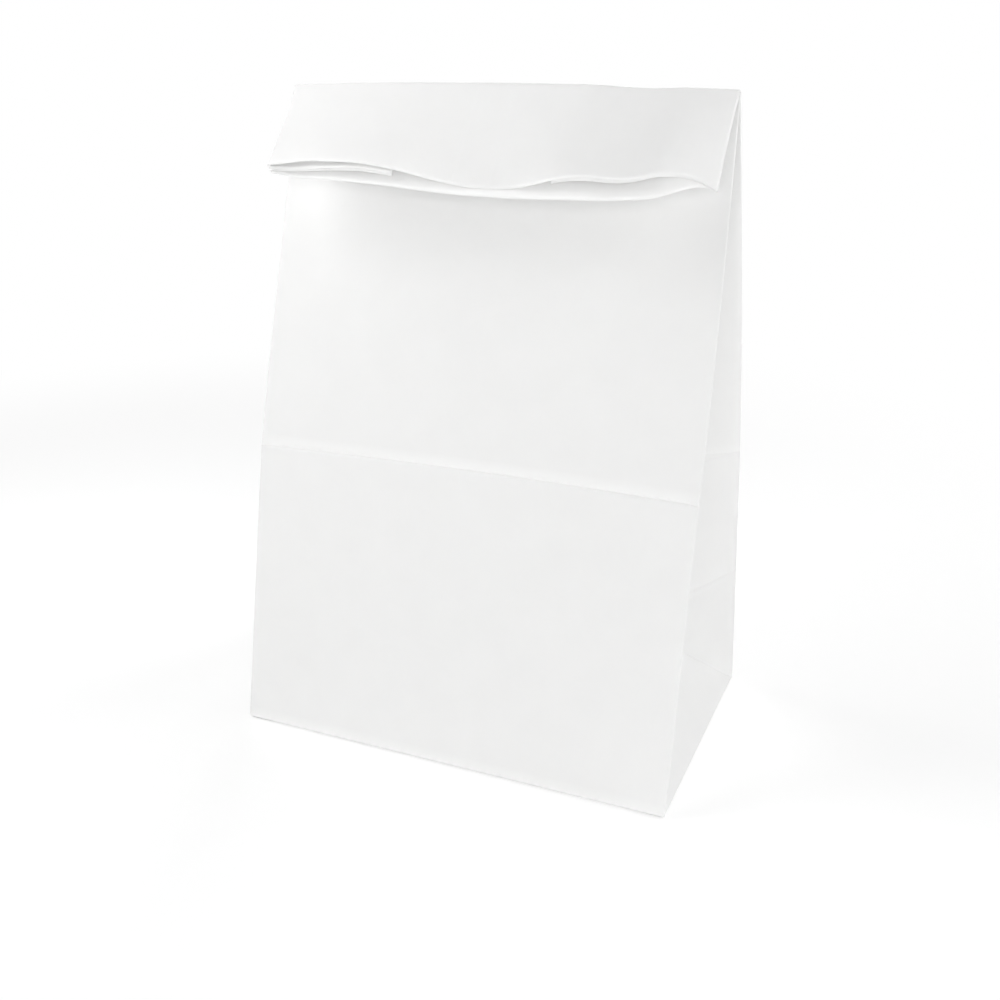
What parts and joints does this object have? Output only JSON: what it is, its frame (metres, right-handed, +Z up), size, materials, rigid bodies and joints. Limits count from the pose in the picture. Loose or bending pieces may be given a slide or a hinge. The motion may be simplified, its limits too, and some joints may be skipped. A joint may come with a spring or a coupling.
{
  "type": "paper lunch bag",
  "caption": "White paper lunch bag standing upright, with a block bottom, tucked side panels and the top turned down once over the front.",
  "frame": {"origin": "middle of the base, on the surface that the bag stands on", "axes": "+X across the front panel to its right as seen from the front, +Y from the front panel to the back panel, +Z up; the top is turned down towards -Y"},
  "size_m": [0.15, 0.0927, 0.2085],
  "materials": {
    "white_paper": "matte bleached kraft paper, faintly fibrous"
  },
  "bodies": {
    "root": {"paper_bag": "white_paper"}
  },
  "joints": []
}
